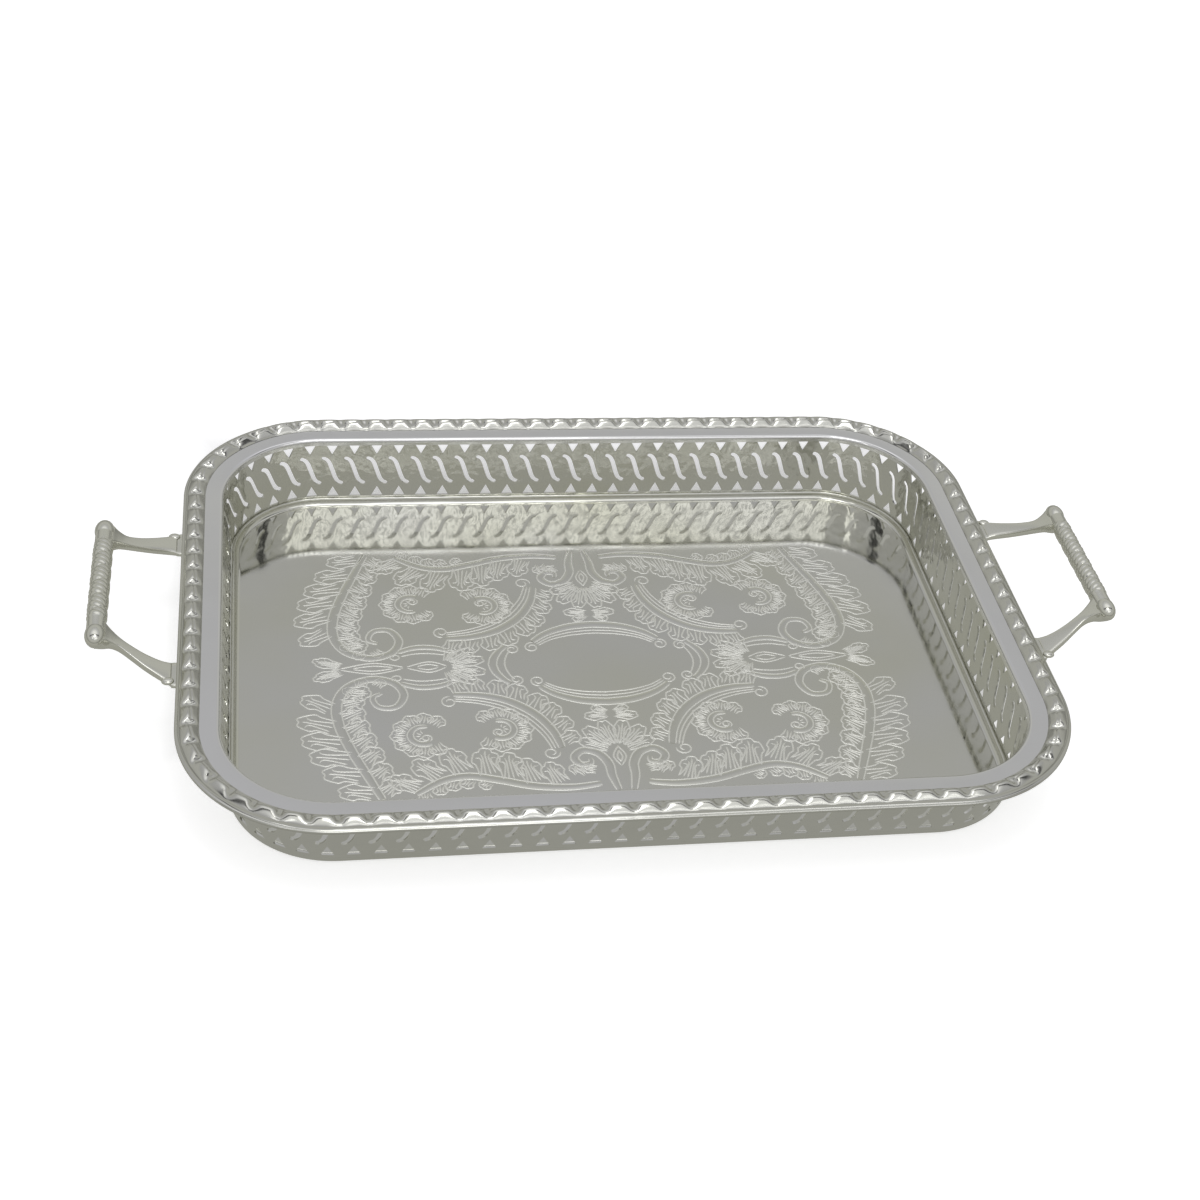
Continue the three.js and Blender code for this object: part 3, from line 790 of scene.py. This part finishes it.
def draw_ornament(pen):
    """Scrollwork round a plain oval: scrolls, shells, palmettes and leafy stems."""
    # The oval's frame.
    pen.scroll([(25, 13, 4.4), (19, 17.6, 5.8), (10, 21, 7.2), (0, 22.2, 7.6)], 2)
    pen.curl((26.2, 10.4), 3.1, 110, -1.4)
    pen.scroll([(41.4, 0, 6.4), (40.6, 4, 6), (38.4, 8.2, 4.8), (36.2, 10.6, 4)], 1)
    pen.curl((34.4, 9.4), 2.9, 60, 1.4)

    # A large scroll on the diagonal, leafy on the side towards the oval.
    diagonal = [(22.5, 50, 5), (25.2, 40.5, 6.4), (31, 31, 7.4), (40, 23.4, 7.4), (50, 19.6, 6.4)]
    diagonal.append((60, 18.4, 5))
    pen.scroll(diagonal, 2)
    pen.curl((61.8, 21.4), 3.4, -100, 1.3)
    pen.curl((25.6, 52.4), 3.4, 190, -1.3)
    pen.leaves(diagonal, -1, 8, 9.5, 8.8, 2, 62, 20)

    # Shells outside it.
    pen.shell((43.5, 38), 60, 230, 9)
    pen.shell((73, 40), 120, -230, 9)

    # A palmette, leaves and volutes on the short axis.
    pen.leaf((0.9, 49.5), -77, 15, 6.6, 2)
    pen.leaf((2, 50), -50, 15, 7, 2)
    pen.leaf((3, 51), -24, 12.5, 6.4, 2)
    pen.leaf((1.2, 31.5), 18, 9.5, 5, 2, -30)
    pen.leaf((1.2, 30.5), -30, 7, 4, 2)
    pen.line([(0, 50), (2.4, 55.5), (0, 61)])
    pen.line([(0, 52.5), (1, 56), (0, 58.5)])
    stalk = [(2.8, 74, 2), (4.4, 66, 3), (4.8, 59.5, 3.4), (8, 53.6, 3.4)]
    volute = [(13.6, 51.6, 3.2), (17.4, 55.4, 3), (15.2, 59.4, 2.6), (11.4, 58.6, 2), (11.6, 56, 1.4)]
    pen.scroll(stalk + volute)
    pen.leaves([(8, 62, 1), (12, 65, 1), (18, 65, 1)], -1, 3, 6.5, 5.5, 2)

    # A stem along the long edge, with fronds.
    low_part = [(9, 70, 2.4), (20, 71.4, 3), (34, 70, 3.4)]
    high_part = [(47, 66, 3.4), (58, 63.4, 3.4), (68, 65.4, 3), (78, 72, 2.2)]
    pen.scroll(low_part + high_part)
    pen.leaves(low_part[1:] + high_part, -1, 7, 15, 10.4, 3, 56, 26)
    pen.leaves(high_part, 1, 5, 5.5, 6, 2)

    # A palmette, drops and small scrolls on the long axis.
    pen.leaf((60, 0.9), 167, 14.5, 6, 2)
    pen.leaf((60, 2), 140, 13, 6.6, 2)
    pen.leaf((61, 2.6), 112, 8, 5, 2)
    pen.line([(61, 0.3), (68, 3.2), (77, 0.3)])
    pen.line([(64, 0.3), (68.5, 1.6), (73, 0.3)])
    pen.line([(78, 0.3), (90, 3.2), (103, 0.3)])
    pen.line([(82, 0.3), (90, 1.5), (98, 0.3)])
    pen.leaf((102, 1.4), 22, 12, 6)
    pen.scroll([(79.6, 8.6, 3.8), (73, 10.8, 5), (66, 10.6, 5), (60.4, 8.8, 3.8)], 1)
    pen.curl((58.8, 6.9), 2.4, 110, 1.3)
    pen.curl((81, 6.6), 2.4, 70, -1.3)

    # A stem along the short edge, wound into a volute and leafy on both sides.
    rise = [(90, 74, 2.4), (95.4, 60, 3.2), (100.6, 46, 3.6), (104.4, 32, 3.8), (104.6, 20, 3.8)]
    rise.append((100, 10.6, 3.6))
    turn = [(91, 6.4, 3.4), (82.4, 9.2, 3.2), (79, 16.4, 3), (82.4, 23.2, 2.6), (88.8, 23, 2.2)]
    pen.scroll(rise + turn + [(91, 17.6, 1.8), (87.4, 15.2, 1.4)])
    pen.leaves(rise, -1, 8, 10, 10.2, 3, 58, 20)
    pen.leaves(rise[:5], 1, 6, 16, 10, 2, 48, 30)
    pen.leaves([(99, 18, 1), (95, 12, 1), (87, 12, 1)], 1, 3, 6, 5.4, 2)


def ornament_pieces(line_material, band_material):
    """The chased pattern on the floor, as one piece of bands and one of lines."""
    pen = Ornament()
    draw_ornament(pen)
    finish_piece(pen.finished(pen.bands), "ornament_bands", band_material)
    finish_piece(pen.finished(pen.lines), "ornament_lines", line_material, crease=60)


# ---- stage, light and camera ----

TABLE_HALF = 12  # metres
# The table's glow inside the painted shade, and outside it.
PAINTED_SHADE_GLOW = 0.27
OPEN_GLOW = 0.62


def make_stage():
    """A plain white table top that glows, with a painted shade: its glow is lower behind and beside the wall,
    where the flange would cast shade.
    """
    material, tree = new_material("white_paper")
    place = add(tree, "ShaderNodeTexCoord", {}).outputs["Object"]
    offset = add(
        tree,
        "ShaderNodeVectorMath",
        {0: place, 1: PAINTED_SHADE_MIDDLE * MM},
        operation="SUBTRACT",
    )
    reach = add(tree, "ShaderNodeVectorMath", {0: offset.outputs["Vector"]}, operation="ABSOLUTE")
    past = add(
        tree,
        "ShaderNodeVectorMath",
        {0: reach.outputs["Vector"], 1: PAINTED_SHADE_REACH * MM},
        operation="SUBTRACT",
    )
    sides = add(tree, "ShaderNodeSeparateXYZ", {"Vector": past.outputs["Vector"]}).outputs
    distance = add(tree, "ShaderNodeMath", {0: sides["X"], 1: sides["Y"]}, operation="MAXIMUM")
    # Painted shade: the table's glow is lowered inside the patch behind and beside the wall.
    glow = add(
        tree,
        "ShaderNodeMapRange",
        {
            "Value": distance.outputs["Value"],
            "From Max": PAINTED_SHADE_FADE * MM,
            "To Min": PAINTED_SHADE_GLOW,
            "To Max": OPEN_GLOW,
        },
    )
    shader = add(
        tree,
        "ShaderNodeBsdfPrincipled",
        {
            "Base Color": linear("#f2f2f4"),
            "Roughness": 0.9,
            "Emission Color": linear("#ffffff"),
            "Emission Strength": glow.outputs["Result"],
        },
    )
    add(tree, "ShaderNodeOutputMaterial", {"Surface": shader.outputs["BSDF"]})
    bm = bmesh.new()
    bmesh.ops.create_grid(bm, x_segments=1, y_segments=1, size=TABLE_HALF)
    bmesh.ops.translate(bm, vec=(0, 0, -TABLE_DROP * MM), verts=bm.verts)
    mesh = bpy.data.meshes.new("table_top")
    bm.to_mesh(mesh)
    bm.free()
    mesh.materials.append(material)
    table = bpy.data.objects.new("table_top", mesh)
    table.visible_glossy = False
    bpy.context.scene.collection.objects.link(table)


def make_world():
    """A light tent: grey sides and a brighter roof, with a dark seam across the roof from left to right.

    Colours go by height, from straight down at 0 through the horizon at 0.5 to straight up at 1.
    """
    world = bpy.data.worlds.new("studio")
    world.use_nodes = True
    tree = world.node_tree
    tree.nodes.clear()
    way = add(tree, "ShaderNodeTexCoord", {}).outputs["Generated"]
    axes = add(tree, "ShaderNodeSeparateXYZ", {"Vector": way}).outputs
    share = add(tree, "ShaderNodeMapRange", {"Value": axes["Z"], "From Min": -1.0, "From Max": 1.0})
    beside = add(tree, "ShaderNodeMath", {0: axes["Y"]}, operation="ABSOLUTE")
    seam = add(
        tree,
        "ShaderNodeMapRange",
        {"Value": beside.outputs["Value"], "From Min": 0.05, "From Max": 0.11, "To Min": 0.1, "To Max": 1.0},
    )
    below = add(tree, "ShaderNodeMapRange", {"Value": axes["Z"], "From Min": 0.7, "From Max": 0.55})
    light = add(
        tree,
        "ShaderNodeMath",
        {0: seam.outputs["Result"], 1: below.outputs["Result"]},
        operation="MAXIMUM",
    )
    ramp = add(tree, "ShaderNodeValToRGB", {"Fac": share.outputs["Result"]})
    stops = [
        (0.0, "#a0a09a"),
        (0.45, "#aeaea8"),
        (0.5, "#80807c"),
        (0.62, "#b2b2ae"),
        (0.77, "#bcbcb8"),
        (0.803, "#b0b0b0"),
        (0.86, "#b8b8ba"),
        (0.9, "#c4c4c6"),
        (0.94, "#e2e2e4"),
        (1.0, "#ffffff"),
    ]
    elements = ramp.color_ramp.elements
    elements.remove(elements[0])
    elements[0].position = stops[0][0]
    elements[0].color = linear(stops[0][1])
    for position, colour in stops[1:]:
        elements.new(position).color = linear(colour)
    background = add(
        tree,
        "ShaderNodeBackground",
        {"Color": ramp.outputs["Color"], "Strength": light.outputs["Value"]},
    )
    add(tree, "ShaderNodeOutputWorld", {"Surface": background.outputs["Background"]})
    bpy.context.scene.world = world


def softbox(name, azimuth, elevation, distance, width, height, power):
    """An upright area light that faces the tray, in degrees, metres and watts."""
    light = bpy.data.lights.new(name, "AREA")
    light.shape = "RECTANGLE"
    light.size = width
    light.size_y = height
    light.energy = power
    lamp = bpy.data.objects.new(name, light)
    level = polar(azimuth, math.cos(math.radians(elevation)))
    way = Vector((*level, math.sin(math.radians(elevation))))
    facing = way.to_track_quat("Z", "Y").to_matrix().to_4x4()
    lamp.matrix_world = Matrix.Translation(way * distance) @ facing
    bpy.context.scene.collection.objects.link(lamp)


def make_lights():
    """A strip on the left, a row of narrow strips in front that the wall mirrors, and a box overhead."""
    softbox("left_strip", azimuth=-137, elevation=52, distance=1.4, width=0.1, height=0.4, power=0.12)
    for strip in range(7):
        softbox(
            f"front_strip_{strip + 1}",
            azimuth=-43 - 9 * strip,
            elevation=52,
            distance=1.4,
            width=0.085,
            height=0.42,
            power=0.09,
        )
    softbox("overhead_softbox", azimuth=-90, elevation=80, distance=1.5, width=0.5, height=0.5, power=1.3)


def make_camera():
    """A short telephoto lens that looks down on the tray from the front, left of its middle."""
    lens = bpy.data.cameras.new("camera")
    lens.lens = 58.6
    lens.sensor_width = 36
    lens.shift_x = -0.046
    lens.shift_y = 0.009
    camera = bpy.data.objects.new("camera", lens)
    turns = [(-13.58, "Z"), (52.13, "X"), (6.99, "Z")]
    pose = Matrix.Translation((-0.1252, -0.5965, 0.4998))
    for degrees, axis in turns:
        pose = pose @ Matrix.Rotation(math.radians(degrees), 4, axis)
    camera.matrix_world = pose
    bpy.context.scene.collection.objects.link(camera)
    bpy.context.scene.camera = camera


make_camera()
make_stage()
make_world()
make_lights()
bpy.context.scene.view_settings.view_transform = "Standard"

# Flat pressed sheet, polished to a mirror: wide slow waves bend what it reflects.
mirror_plate = silver_plate("mirror_silver_plate", "#e4e4e6", "#dcdcc8", 0.05, 0.11, 60, 0.25)
# The buffed flange: a little brighter than the floor, with softer reflections.
flange_plate = silver_plate("buffed_silver_plate", "#f4f4f8", "#eeeeea", 0.07, 0.14, 60, 0.2)
# Stamped sheet: the punch leaves ripples a few millimetres long, which break up what it reflects.
gallery_plate = silver_plate("stamped_silver_plate", "#e6e6e2", "#d8d8d0", 0.08, 0.15, 5, 0.35)
# A soft stamped border: smooth and slightly greyer, with the relief in its shape.
border_plate = silver_plate("gadroon_silver_plate", "#dededa", "#d2d2c8", 0.1, 0.18, 20, 0.02)
# Castings, polished where the wheel reaches: satin rather than mirror.
cast_plate = silver_plate("cast_silver_plate", "#f0f0ea", "#e4e4d8", 0.1, 0.2, 20, 0.02)
# Metal that the chasing tool has bruised: matt and pale, so that lines show on the mirror floor.
chased_plate = silver_plate("chased_silver_plate", "#fcfcf8", "#f8f8ee", 0.34, 0.44, 20, 0.01)

pan_piece(mirror_plate)
ornament_pieces(chased_plate, mirror_plate)
flange_piece(flange_plate)
gallery_pieces(gallery_plate)
border_pieces(border_plate)
for handle, side in (("right", 1), ("left", -1)):
    grip_piece(f"{handle}_grip", side, cast_plate)
    for end_name, end in (("back", 1), ("front", -1)):
        arm_piece(f"{handle}_arm_{end_name}", side, end, cast_plate)
for rivet in range(1, 9):
    rivet_piece(rivet, cast_plate)

bpy.context.view_layer.update()
